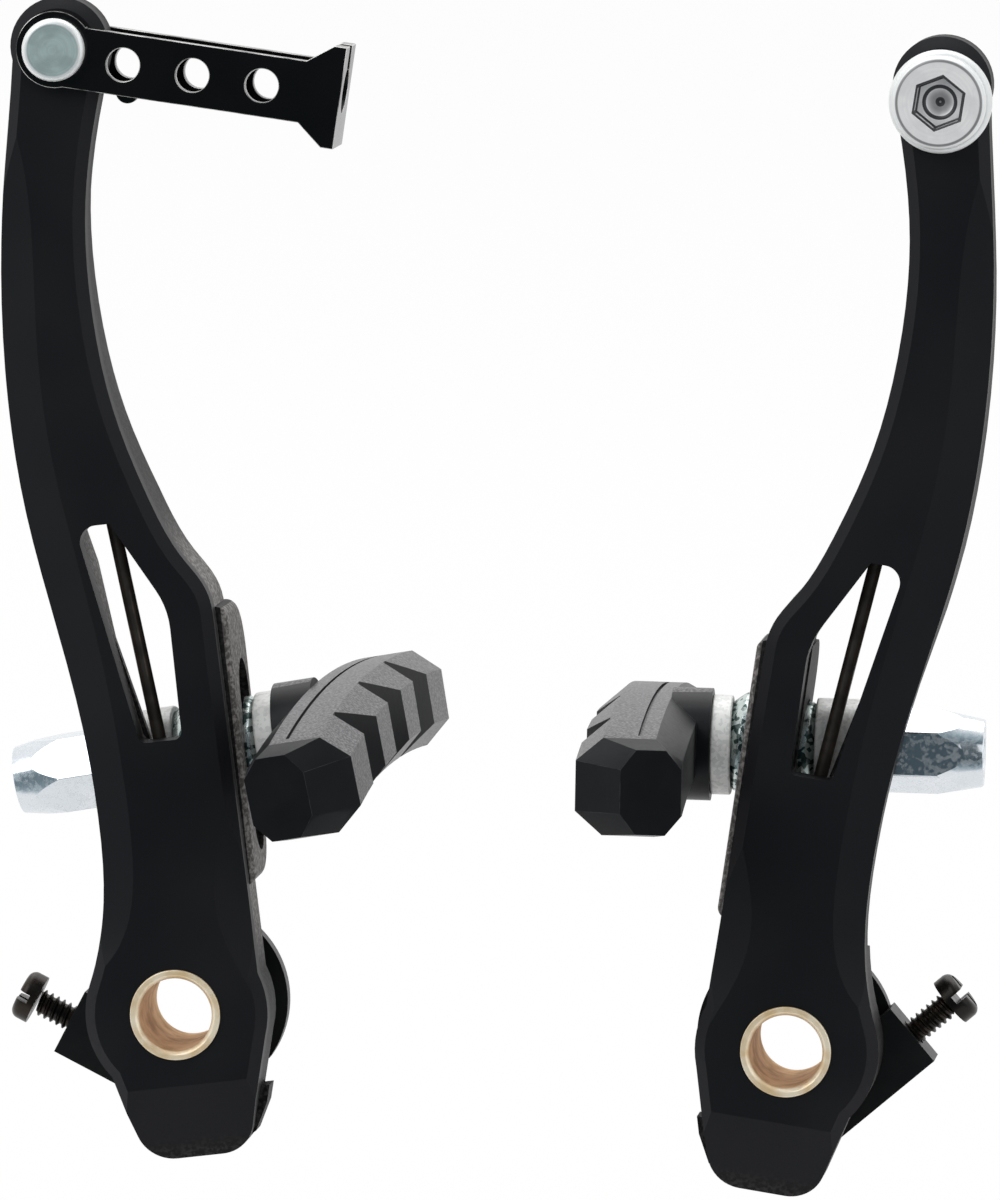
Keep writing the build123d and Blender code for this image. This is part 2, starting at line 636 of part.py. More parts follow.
def shoe_frame(stud_up, tilt, toe, turn):
    """Where a shoe's hardware sits: the flange frame moved along the slot, then set on its domes."""
    seat = flange_frame() * Pos(0, 0, stud_up - FLANGE_UP)
    return seat * Rot(0, -tilt - FLANGE_LEAN, 0) * Rot(0, 0, -toe) * Rot(turn, 0, 0)


def save(name, shape, mirrored, lean, across):
    """Turn a piece to its arm's lean, move it to its post and write it."""
    if mirrored:
        shape = mirror(shape, Plane.YZ)
    export_step(Pos(across, 0, 0) * Rot(0, lean, 0) * shape, f"parts/{name}.step")


def build_side(side, mirrored, lean, across, drop, show, stud_up, tilt, toe, turn, nut_turn, pin_up, pin_r):
    """Make every piece that both sides share."""
    swing = lean if mirrored else -lean
    seat = flange_frame() * Pos(0, 0, stud_up - FLANGE_UP)
    shoe = shoe_frame(stud_up, tilt, toe, turn)
    moving = {
        "arm": arm(pin_up, pin_r),
        "pivot_bush": pivot_bush(),
        "return_spring": return_spring(drop, lean, show),
        "inner_dome_washer": seat * dome_washer(1),
        "outer_dome_washer": seat * dome_washer(-1),
        "inner_cup_washer": shoe * cup_washer(1, THIN_CUP),
        "outer_cup_washer": shoe * cup_washer(-1, THICK_CUP),
        "flat_washer": shoe * flat_washer(),
        "cap_nut": shoe * Rot(nut_turn, 0, 0) * cap_nut(),
        "shoe_stud": shoe * shoe_stud(),
        "brake_pad": shoe * brake_pad(),
    }
    fixed = {
        "spring_holder": spring_holder(drop),
        "holder_pin": holder_pin(),
        "tension_screw": tension_screw(drop, show),
    }
    for name, shape in moving.items():
        save(f"{side}_{name}", shape, mirrored, swing, across)
    for name, shape in fixed.items():
        save(f"{side}_{name}", shape, mirrored, 0, across)


os.makedirs("parts", exist_ok=True)
build_side("left", False, LEFT_LEAN, 0, LEFT_SCREW_DROP, LEFT_SCREW_SHOW, LEFT_STUD_UP, LEFT_TILT, LEFT_TOE,
           LEFT_TURN, LEFT_NUT_TURN, RIVET_UP, RIVET_R)
build_side("right", True, RIGHT_LEAN, POST_SPACING, RIGHT_SCREW_DROP, RIGHT_SCREW_SHOW, RIGHT_STUD_UP,
           RIGHT_TILT, RIGHT_TOE, RIGHT_TURN, RIGHT_NUT_TURN, ANCHOR_UP, ANCHOR_R)
save("cable_bracket", cable_bracket(), False, -LEFT_LEAN, 0)
save("bracket_rivet", bracket_rivet(), False, -LEFT_LEAN, 0)
save("cable_anchor_bolt", anchor_bolt(), True, RIGHT_LEAN, POST_SPACING)
save("cable_anchor_washer", anchor_washer(), True, RIGHT_LEAN, POST_SPACING)
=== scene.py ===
"""Studio scene of a linear-pull bicycle rim brake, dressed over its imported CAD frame."""

from __future__ import annotations

import json
import logging
import math
from dataclasses import dataclass
from enum import Enum
from typing import Any, Callable, Mapping

import bmesh
import bpy
from mathutils import Matrix, Vector
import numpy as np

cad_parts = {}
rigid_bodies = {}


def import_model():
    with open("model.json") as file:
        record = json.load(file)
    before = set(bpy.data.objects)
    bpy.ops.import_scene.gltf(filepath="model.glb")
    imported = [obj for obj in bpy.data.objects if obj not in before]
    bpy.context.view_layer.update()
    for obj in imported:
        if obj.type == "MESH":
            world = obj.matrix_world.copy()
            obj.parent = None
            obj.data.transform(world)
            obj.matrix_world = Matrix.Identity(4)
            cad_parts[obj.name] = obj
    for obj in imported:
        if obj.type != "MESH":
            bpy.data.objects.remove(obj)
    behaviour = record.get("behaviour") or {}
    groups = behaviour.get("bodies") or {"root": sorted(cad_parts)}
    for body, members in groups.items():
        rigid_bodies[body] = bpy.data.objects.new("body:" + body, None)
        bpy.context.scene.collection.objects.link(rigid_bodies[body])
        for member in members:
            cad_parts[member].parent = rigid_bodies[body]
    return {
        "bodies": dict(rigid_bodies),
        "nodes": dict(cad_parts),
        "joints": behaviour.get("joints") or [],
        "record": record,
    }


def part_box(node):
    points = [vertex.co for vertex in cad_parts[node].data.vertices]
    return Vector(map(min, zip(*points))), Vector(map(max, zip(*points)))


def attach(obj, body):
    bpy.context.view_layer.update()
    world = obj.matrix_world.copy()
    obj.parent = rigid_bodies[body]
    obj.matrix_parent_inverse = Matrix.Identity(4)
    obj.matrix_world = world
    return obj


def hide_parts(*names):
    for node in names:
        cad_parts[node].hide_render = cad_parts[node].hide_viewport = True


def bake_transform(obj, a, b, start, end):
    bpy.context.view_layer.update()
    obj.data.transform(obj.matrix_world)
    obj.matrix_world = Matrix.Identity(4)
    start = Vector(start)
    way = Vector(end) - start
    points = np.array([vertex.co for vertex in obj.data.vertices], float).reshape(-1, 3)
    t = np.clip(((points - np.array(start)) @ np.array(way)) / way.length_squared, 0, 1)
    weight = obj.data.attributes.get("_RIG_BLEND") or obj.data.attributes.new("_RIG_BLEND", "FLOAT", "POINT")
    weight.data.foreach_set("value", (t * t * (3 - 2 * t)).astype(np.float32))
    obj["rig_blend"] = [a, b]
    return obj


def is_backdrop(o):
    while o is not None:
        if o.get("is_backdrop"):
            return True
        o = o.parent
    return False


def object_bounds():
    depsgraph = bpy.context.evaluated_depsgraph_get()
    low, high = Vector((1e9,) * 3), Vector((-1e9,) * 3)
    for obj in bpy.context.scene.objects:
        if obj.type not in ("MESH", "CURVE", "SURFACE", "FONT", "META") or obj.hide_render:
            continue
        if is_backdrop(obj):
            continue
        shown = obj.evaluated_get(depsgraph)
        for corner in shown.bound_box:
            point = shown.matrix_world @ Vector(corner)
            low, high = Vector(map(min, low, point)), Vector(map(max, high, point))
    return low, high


LOG = logging.getLogger("rim_brake")
MM = 0.001
# Marks the rounded-edge faces, which carry wear on the arm, dust on the pad, a painted highlight on the
# bracket, screw and holder, and painted shade in the anchor's socket.
ROUNDED_EDGE = "rounded_edge"
# Marks faces painted pale: a painted sheen on the arm's flange, and grinding with a painted sheen on the pad.
PALE_SHEEN = "pale_sheen"
WHITE = (1.0, 1.0, 1.0)
# A Mix node's colour sockets share their names with its other kinds, so they go by number.
MIX_AMOUNT = 0
MIX_FIRST = 6
MIX_SECOND = 7
MIX_RESULT = 2
Colour = tuple[float, float, float]
Axis = tuple[float, float]
Band = tuple[float, float]


class Side(Enum):
    """The two arms, as the viewer sees them."""

    LEFT = "left"
    RIGHT = "right"

    @property
    def inward(self) -> int:
        """The sign of X towards the rim on this side."""
        return 1 if self is Side.LEFT else -1

    def piece(self, name: str) -> str:
        """A piece's node name on this side."""
        return f"{self.value}_{name}"


def middle(node: str) -> Vector:
    """The middle of a CAD node's box."""
    low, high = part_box(node)
    return (low + high) / 2


class Value:
    """A shader socket that can be used in Python arithmetic."""

    def __init__(self, graph: Graph, socket: bpy.types.NodeSocket) -> None:
        """Keep the graph that new nodes go into and the socket that is read."""
        self.graph = graph
        self.socket = socket

    def _math(self, operation: str, first: Any, second: Any) -> Value:
        """Add one Math node."""
        return self.graph.node("ShaderNodeMath", {"operation": operation}, {0: first, 1: second})

    def __add__(self, other: Any) -> Value:
        """The sum with a socket or a number."""
        return self._math("ADD", self, other)

    def __sub__(self, other: Any) -> Value:
        """The difference from a socket or a number."""
        return self._math("SUBTRACT", self, other)

    def __rsub__(self, other: Any) -> Value:
        """A number less this socket."""
        return self._math("SUBTRACT", other, self)

    def __mul__(self, other: Any) -> Value:
        """The product with a socket or a number."""
        return self._math("MULTIPLY", self, other)

    def __pow__(self, other: Any) -> Value:
        """This socket raised to a power."""
        return self._math("POWER", self, other)

    def __rpow__(self, other: Any) -> Value:
        """A number raised to this socket's power."""
        return self._math("POWER", other, self)

    __radd__ = __add__
    __rmul__ = __mul__

    def spread(self, low: float, high: float) -> Value:
        """Map a range of this socket smoothly onto 0 to 1.

        Args:
            low: The value where the result is 0.
            high: The value where the result is 1.

        Returns:
            The mapped socket.
        """
        settings = {"interpolation_type": "SMOOTHSTEP"}
        inputs = {"Value": self, "From Min": low, "From Max": high}
        return self.graph.node("ShaderNodeMapRange", settings, inputs)


class Graph:
    """The node tree of one material or world."""

    def __init__(self, holder: bpy.types.Material | bpy.types.World) -> None:
        """Start an empty tree.

        Args:
            holder: The material or world that the tree belongs to.
        """
        holder.use_nodes = True
        self.tree = holder.node_tree
        self.tree.nodes.clear()

    def node(
        self,
        kind: str,
        settings: Mapping[str, Any] | None = None,
        inputs: Mapping[str | int, Any] | None = None,
        output: str | int = 0,
    ) -> Value:
        """Add any node.

        Args:
            kind: The node's Blender type.
            settings: The node's own settings, which are set first.
            inputs: A value or a link for each of its sockets.
            output: The socket to read.

        Returns:
            The output socket.
        """
        made = self.tree.nodes.new(kind)
        for key, value in (settings or {}).items():
            setattr(made, key, value)
        for key, value in (inputs or {}).items():
            if isinstance(value, Value):
                self.tree.links.new(value.socket, made.inputs[key])
            else:
                made.inputs[key].default_value = value
        return Value(self, made.outputs[output])

    def place(self) -> Value:
        """The surface point in the object's own coordinates."""
        return self.node("ShaderNodeTexCoord", output="Object")

    def along(self, axis: str) -> Value:
        """One coordinate of the surface point, by its letter."""
        return self.node("ShaderNodeSeparateXYZ", inputs={0: self.place()}, output=axis)

    def radius(self, axis: Axis) -> Value:
        """The distance from an axis that runs front to back.

        Args:
            axis: The axis's X and Z.

        Returns:
            The distance in metres.
        """
        across = self.along("X") - axis[0]
        up = self.along("Z") - axis[1]
        return (across * across + up * up) ** 0.5

    def noise(self, scale: float, detail: float = 3.0, stretch: Vector | None = None) -> Value:
        """A noise value over the object.

        Args:
            scale: Features per metre.
            detail: Octaves of finer noise.
            stretch: A scale for each axis, where the noise runs along one.

        Returns:
            The noise from 0 to 1.
        """
        point = self.place()
        if stretch is not None:
            point = self.node("ShaderNodeMapping", inputs={"Vector": point, "Scale": stretch})
        return self.node("ShaderNodeTexNoise", inputs={"Vector": point, "Scale": scale, "Detail": detail})

    def rings(self, axis: Axis, scale: float, detail: float = 4.0) -> Value:
        """Turned rings about an axis, as noise on the radius."""
        inputs = {"W": self.radius(axis), "Scale": scale, "Detail": detail}
        return self.node("ShaderNodeTexNoise", {"noise_dimensions": "1D"}, inputs)

    def crystals(self, scale: float) -> Value:
        """Crystal cells over the object, each with its own shade.

        Args:
            scale: Cells per metre.

        Returns:
            The shade from 0 to 1.
        """
        inputs = {"Vector": self.place(), "Scale": scale}
        cells = self.node("ShaderNodeTexVoronoi", inputs=inputs, output="Color")
        return self.node("ShaderNodeSeparateColor", inputs={0: cells})

    def mark(self, name: str) -> Value:
        """A mark on the piece's faces, 1 where it is set."""
        return self.node("ShaderNodeAttribute", {"attribute_name": name}, output="Fac")

    def ray(self, kind: str) -> Value:
        """Whether the light's path is of a kind, as 0 or 1."""
        return self.node("ShaderNodeLightPath", output=f"Is {kind} Ray")

    def mix(self, amount: Any, first: Any, second: Any) -> Value:
        """Blend two colours by an amount from 0 to 1."""
        ends = {MIX_FIRST: self._colour(first), MIX_SECOND: self._colour(second), MIX_AMOUNT: amount}
        return self.node("ShaderNodeMix", {"data_type": "RGBA"}, ends, MIX_RESULT)

    def _colour(self, colour: Any) -> Any:
        """A colour with its alpha, or a link as it is."""
        return colour if isinstance(colour, Value) else (*colour, 1.0)

    def bump(self, height: Value, depth: float, strength: float) -> Value:
        """A bumped normal from a height.

        Args:
            height: The height from 0 to 1.
            depth: How deep the bump goes, in metres.
            strength: How much of it shows.

        Returns:
            The normal.
        """
        return self.node("ShaderNodeBump", inputs={"Height": height, "Distance": depth, "Strength": strength})

    def end(self, kind: str, shader: Value) -> None:
        """Link a shader to an output node of a kind."""
        self.tree.links.new(shader.socket, self.tree.nodes.new(kind).inputs["Surface"])


@dataclass(frozen=True)
class Finish:
    """A finish: its two colours, its gloss and the grain that breaks them up.

    A scale is a multiple of the grain, and a band is where a noise starts and ends.
    """

    name: str
    colour: Colour
    second: Colour
    roughness: float
    grain: float = 900.0
    grain_depth: float = 0.02 * MM
    bump_share: float = 0.4
    shine: float = 0.5
    metal: float = 0.0
    cloud_scale: float = 0.12
    cloud_detail: float = 3.0
    cloud_band: Band = (0.3, 0.7)
    cloud_rough: float = 0.06
    edge_mark_scale: float = 0.4
    edge_mark_band: Band = (0.35, 0.62)

    def material(self) -> bpy.types.Material:
        """Make the finish's material.

        Returns:
            The material.
        """
        made = bpy.data.materials.new(self.name)
        self.paint(Graph(made))
        return made

    def paint(self, graph: Graph) -> None:
        """Draw the finish into a tree."""
        raise NotImplementedError

    def clouds(self, graph: Graph) -> Value:
        """The slow change over the surface, from 0 to 1."""
        return graph.noise(self.grain * self.cloud_scale, self.cloud_detail).spread(*self.cloud_band)

    def edge_wear_and_highlight(self, graph: Graph) -> Value:
        """The rounded edges of the piece, broken up by noise: wear on the arm, dust on the pad, and a painted
        highlight on the bracket, the screw and the holder.
        """
        return graph.mark(ROUNDED_EDGE) * graph.noise(self.grain * self.edge_mark_scale).spread(*self.edge_mark_band)

    def surface(
        self,
        graph: Graph,
        colour: Value,
        rough: Value,
        height: Value,
        metal: Value | None = None,
    ) -> None:
        """End the tree in one principled surface.

        Args:
            graph: The finish's tree.
            colour: The base colour.
            rough: What is added to the finish's roughness.
            height: The height that bumps the normal.
            metal: The metallic share, where it isn't the same all over.
        """
        shader = graph.node("ShaderNodeBsdfPrincipled", inputs={
            "Base Color": colour,
            "Metallic": self.metal if metal is None else metal,
            "Roughness": self.roughness + rough,
            "Specular IOR Level": self.shine,
            "Normal": graph.bump(height, self.grain_depth, self.bump_share),
        })
        graph.end("ShaderNodeOutputMaterial", shader)


@dataclass(frozen=True)
class ForgedPaint(Finish):
    """Matt black paint on a forging, thin on the speckled skin behind its face, with a painted pale sheen on
    the flange.
    """

    shine: float = 0.13
    cloud_scale: float = 0.06
    cloud_detail: float = 2.0
    peel_scale: float = 2.0
    grit_scale: float = 2.4
    grit_detail: float = 6.0
    grit_band: Band = (0.42, 0.64)
    edge: Colour = (0.02, 0.02, 0.021)
    edge_share: float = 0.7
    skin: Colour = (0.006, 0.0058, 0.0058)
    skin_grit: Colour = (0.03, 0.028, 0.027)
    skin_rough: float = 0.08
    skin_front: float = -13.4 * MM
    skin_back: float = -11.8 * MM
    pale_sheen: Colour = (0.095, 0.088, 0.084)
    pale_sheen_grit: Colour = (0.3, 0.284, 0.275)
    pale_sheen_low: float = 4.0 * MM
    pale_sheen_high: float = 48.0 * MM
    pale_sheen_fade: float = 8.0 * MM

    def paint(self, graph: Graph) -> None:
        """Draw the paint.

        Args:
            graph: The finish's tree.
        """
        cloud = self.clouds(graph)
        peel = graph.noise(self.grain * self.peel_scale)
        grit = graph.noise(self.grain * self.grit_scale, self.grit_detail).spread(*self.grit_band)
        behind = graph.along("Y").spread(self.skin_front, self.skin_back)
        height = graph.along("Z")
        # Painted pale sheen on the flange faces that look towards the rim, between two heights and behind the
        # front face.
        pale_sheen = height.spread(self.pale_sheen_low, self.pale_sheen_low + self.pale_sheen_fade)
        pale_sheen = pale_sheen * height.spread(self.pale_sheen_high + self.pale_sheen_fade, self.pale_sheen_high) * graph.mark(PALE_SHEEN)
        skin = graph.mix(grit, self.skin, self.skin_grit)
        body = graph.mix(behind, graph.mix(cloud, self.colour, self.second), skin)
        body = graph.mix(pale_sheen * behind, body, graph.mix(grit, self.pale_sheen, self.pale_sheen_grit))
        body = graph.mix(self.edge_wear_and_highlight(graph) * self.edge_share, body, self.edge)
        rough = cloud * self.cloud_rough + behind * self.skin_rough
        self.surface(graph, body, rough, peel + grit * behind)


@dataclass(frozen=True)
class GlossPaint(Finish):
    """Glossy black dip paint on folded sheet, with a painted highlight along its rounded edges."""

    bump_share: float = 0.2
    cloud_scale: float = 0.1
    edge_mark_scale: float = 0.3
    edge: Colour = (0.75, 0.73, 0.71)
    edge_metal: float = 0.6
    edge_rough: float = 0.1

    def paint(self, graph: Graph) -> None:
        """Draw the paint.

        Args:
            graph: The finish's tree.
        """
        cloud = self.clouds(graph)
        edge_wear_and_highlight = self.edge_wear_and_highlight(graph)
        # Painted highlight: the rounded edges turn pale and partly metallic.
        body = graph.mix(edge_wear_and_highlight, graph.mix(cloud, self.colour, self.second), self.edge)
        rough = cloud * self.cloud_rough + edge_wear_and_highlight * self.edge_rough
        self.surface(graph, body, rough, graph.noise(self.grain), edge_wear_and_highlight * self.edge_metal)


@dataclass(frozen=True)
class Plating(Finish):
    """Plated metal: cloudy, with faint tool marks along one way and crystals that catch the light."""

    bump_share: float = 0.25
    metal: float = 1.0
    cloud_scale: float = 0.15
    marks: tuple[float, float, float] = (1.0, 1.0, 1.0)
    mark_detail: float = 4.0
    mark_rough: float = 0.05
    flake: Colour = (0.5, 0.5, 0.5)
    flake_share: float = 0.0
    flake_grain: float = 2600.0
    flake_band: Band = (0.45, 0.8)
    flake_height: float = 0.5
    flake_dull: float = 0.0

    def paint(self, graph: Graph) -> None:
        """Draw the metal.

        Args:
            graph: The finish's tree.
        """
        cloud = self.clouds(graph)
        lines = graph.noise(self.grain, self.mark_detail, Vector(self.marks))
        flakes = graph.crystals(self.flake_grain).spread(*self.flake_band) * self.flake_share
        body = graph.mix(flakes, graph.mix(cloud, self.colour, self.second), self.flake)
        rough = cloud * self.cloud_rough + lines * self.mark_rough
        metal = self.metal - flakes * self.flake_dull
        self.surface(graph, body, rough, lines + flakes * self.flake_height, metal)


@dataclass(frozen=True)
class Turned(Finish):
    """Turned metal with fine rings about its axis, a painted highlight on its rim, painted shade deeper in
    the pit at its middle and painted dark shade lines at given radii.
    """

    bump_share: float = 0.3
    metal: float = 0.6
    cloud_scale: float = 0.4
    cloud_detail: float = 5.0
    cloud_band: Band = (0.35, 0.65)
    axis: Axis = (0.0, 0.0)
    ring: Colour = (0.2, 0.2, 0.2)
    ring_share: float = 0.5
    ring_scale: float = 2.0
    ring_band: Band = (0.35, 0.7)
    ring_rough: float = 0.1
    rim: float = 5.0 * MM
    rim_fade: float = 0.2 * MM
    rim_highlight: Colour = (0.9, 0.92, 0.92)
    shade_lines: tuple[float, ...] = ()
    shade_line_edge: float = 0.2 * MM
    shade_line_core: float = 0.06 * MM
    shade_line_share: float = 0.75
    shade_line_colour: Colour = (0.05, 0.05, 0.055)
    pit: float = 0.0
    pit_fade: float = 0.1 * MM
    pit_mouth: float = 0.0
    pit_floor: float = 0.0
    pit_shade: Colour = (0.36, 0.365, 0.375)

    def paint(self, graph: Graph) -> None:
        """Draw the metal.

        Args:
            graph: The finish's tree.
        """
        radius = graph.radius(self.axis)
        rings = graph.rings(self.axis, self.grain * self.ring_scale).spread(*self.ring_band)
        body = graph.mix(self.clouds(graph), self.colour, self.second)
        body = graph.mix(rings * self.ring_share, body, self.ring)
        # Painted highlight on the rim.
        body = graph.mix(radius.spread(self.rim - self.rim_fade, self.rim), body, self.rim_highlight)
        # Painted shade deeper in the socket, and painted dark outlines on its rounded edges.
        if self.pit:
            inside = radius.spread(self.pit + self.pit_fade, self.pit)
            deep = graph.along("Y").spread(self.pit_mouth, self.pit_floor)
            body = graph.mix(inside * deep, body, self.pit_shade)
            body = graph.mix(inside * graph.mark(ROUNDED_EDGE), body, self.shade_line_colour)
        # Painted dark shade lines round the axis at the given radii.
        for shade_line in self.shade_lines:
            gap = radius - shade_line
            line = (gap * gap).spread(self.shade_line_edge ** 2, self.shade_line_core ** 2)
            body = graph.mix(line * self.shade_line_share, body, self.shade_line_colour)
        self.surface(graph, body, rings * self.ring_rough, rings)


@dataclass(frozen=True)
class Brass(Finish):
    """Brass, stained in patches and drawn with fine lines round its axis."""

    bump_share: float = 0.25
    metal: float = 0.9
    cloud_scale: float = 0.25
    cloud_detail: float = 4.0
    cloud_band: Band = (0.35, 0.7)
    marks: tuple[float, float, float] = (1.0, 9.0, 1.0)
    mark_detail: float = 4.0
    mark_rough: float = 0.08

    def paint(self, graph: Graph) -> None:
        """Draw the brass.

        Args:
            graph: The finish's tree.
        """
        lines = graph.noise(self.grain, self.mark_detail, Vector(self.marks))
        body = graph.mix(self.clouds(graph), self.colour, self.second)
        self.surface(graph, body, lines * self.mark_rough, lines)


@dataclass(frozen=True)
class BlackOxide(Finish):
    """Blackened steel with a painted brown highlight on its rounded edges."""

    metal: float = 0.7
    cloud_scale: float = 0.5
    cloud_detail: float = 4.0
    cloud_band: Band = (0.35, 0.65)
    cloud_rough: float = 0.1
    edge_mark_scale: float = 0.6
    edge: Colour = (0.16, 0.12, 0.09)

    def paint(self, graph: Graph) -> None:
        """Draw the blackened steel.

        Args:
            graph: The finish's tree.
        """
        cloud = self.clouds(graph)
        body = graph.mix(cloud, self.colour, self.second)
        # Painted brown highlight on the rounded edges.
        body = graph.mix(self.edge_wear_and_highlight(graph), body, self.edge)
        self.surface(graph, body, cloud * self.cloud_rough, graph.noise(self.grain))


@dataclass(frozen=True)
class Moulded(Finish):
    """Moulded rubber or plastic: a fine matt skin, with pale rounded edges that are dust on the rubber and a
    painted highlight on the plastic, and pale faces where grinding has roughened it, with a painted sheen
    there too.
    """

    bump_share: float = 0.5
    skin_detail: float = 5.0
    skin_rough: float = 0.12
    grit_scale: float = 2.0
    grit_detail: float = 5.0
    grit_band: Band = (0.38, 0.66)
    bloom_and_highlight: Colour = (0.08, 0.08, 0.08)
    bloom_and_highlight_share: float = 0.5
    ground_sheen: Colour = (0.06, 0.058, 0.062)
    ground_sheen_grit: Colour = (0.22, 0.215, 0.22)

    def paint(self, graph: Graph) -> None:
        """Draw the moulding.

        Args:
            graph: The finish's tree.
        """
        skin = graph.noise(self.grain, self.skin_detail)
        grit = graph.noise(self.grain * self.grit_scale, self.grit_detail).spread(*self.grit_band)
        body = graph.mix(self.clouds(graph), self.colour, self.second)
        # Pale on the marked faces: grinding on the pad, with a painted sheen.
        body = graph.mix(graph.mark(PALE_SHEEN), body, graph.mix(grit, self.ground_sheen, self.ground_sheen_grit))
        # Pale rounded edges: dust on the pad's rubber, a painted highlight on the holder's plastic.
        body = graph.mix(self.edge_wear_and_highlight(graph) * self.bloom_and_highlight_share, body, self.bloom_and_highlight)
        self.surface(graph, body, skin * self.skin_rough, skin)


class Finishes:
    """Every finish on the brake, made once and shared."""

    def __init__(self) -> None:
        """Make the materials, with the turned ones centred on their own axes."""
        along = (8.0, 1.0, 1.0)
        bolt_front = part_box("cable_anchor_bolt")[0].y
        self.arm = ForgedPaint(
            "arm_matt_black", (0.0082, 0.0086, 0.0107), (0.0114, 0.0117, 0.0138), 0.44).material()
        self.bracket = GlossPaint(
            "bracket_gloss_black", (0.0014, 0.0012, 0.0012), (0.0024, 0.002, 0.002), 0.14).material()
        self.cup = Plating(
            "cup_bright_zinc", (0.94, 0.94, 0.92), (0.84, 0.85, 0.83), 0.34, 1300, marks=along, metal=0.15,
            flake=(0.56, 0.58, 0.57), flake_share=0.5).material()
        self.dome = Plating(
            "dome_crystal_zinc", (0.72, 0.78, 0.76), (0.5, 0.58, 0.56), 0.22, 1600, metal=0.8,
            flake=(0.015, 0.05, 0.045), flake_share=0.95, flake_grain=1900).material()
        self.chrome = Plating(
            "nut_chrome", (0.8, 0.83, 0.86), (0.72, 0.76, 0.8), 0.13, 700, 0.004 * MM,
            flake=(0.86, 0.92, 0.95), flake_share=0.3, flake_dull=0.8).material()
        self.steel = Plating(
            "plain_steel", (0.5, 0.5, 0.5), (0.4, 0.4, 0.4), 0.35, 1000, marks=along).material()
        self.wire = BlackOxide("spring_wire", (0.12, 0.1, 0.085), (0.07, 0.06, 0.052), 0.3).material()
        self.screw = BlackOxide("screw_black", (0.012, 0.01, 0.009), (0.03, 0.022, 0.016), 0.3).material()
        self.rubber = Moulded(
            "pad_rubber", (0.0052, 0.0058, 0.0072), (0.0075, 0.008, 0.0095), 0.34, 1800,
            shine=0.22).material()
        # The holder's pale edges are a painted highlight.
        self.plastic = Moulded(
            "holder_plastic", (0.0045, 0.0045, 0.005), (0.007, 0.007, 0.007), 0.36, 1200,
            bloom_and_highlight=(0.05, 0.05, 0.05), shine=0.3).material()
        # The rivet's pale rim is a painted highlight on its chamfer.
        self.rivet = Turned(
            "rivet_zinc", (0.52, 0.65, 0.65), (0.4, 0.5, 0.5), 0.36, 1400, axis=self.axis("bracket_rivet"),
            metal=0.4, ring=(0.2, 0.26, 0.26), ring_share=0.25, rim=2.95 * MM).material()
        # The anchor's dark lines, the darker floor of its socket and the dark outlines there are painted
        # shade; the inner line is at the drill's mouth.
        self.anchor = Turned(
            "anchor_silver", (0.97, 0.97, 0.97), (0.84, 0.84, 0.85), 0.3, 1100,
            axis=self.axis("cable_anchor_bolt"), metal=0.2, ring=(0.8, 0.8, 0.81), rim=4.75 * MM,
            shade_lines=(4.6 * MM, 1.7 * MM), pit=3.2 * MM, pit_mouth=bolt_front + 1.9 * MM,
            pit_floor=bolt_front + 2.6 * MM).material()
        self.bush = Brass(
            "bush_brass", (0.95, 0.85, 0.66), (0.76, 0.57, 0.33), 0.2, 1500, metal=0.25).material()
        # A darker copy of the brass with no shine: painted shade on the bush's inner wall.
        self.bore_shade = Brass(
            "bush_bore_shade", (0.8, 0.55, 0.32), (0.5, 0.3, 0.15), 0.5, 1500, metal=0.45, shine=0.0).material()

    def axis(self, node: str) -> Axis:
        """The X and Z of the front-to-back axis that a round node turns on."""
        centre = middle(node)
        return centre.x, centre.z


@dataclass(frozen=True)
class EdgeBreak:
    """How a piece's sharp edges are rounded over."""

    width: float = 0.25 * MM
    segments: int = 3
    angle: float = math.radians(28)


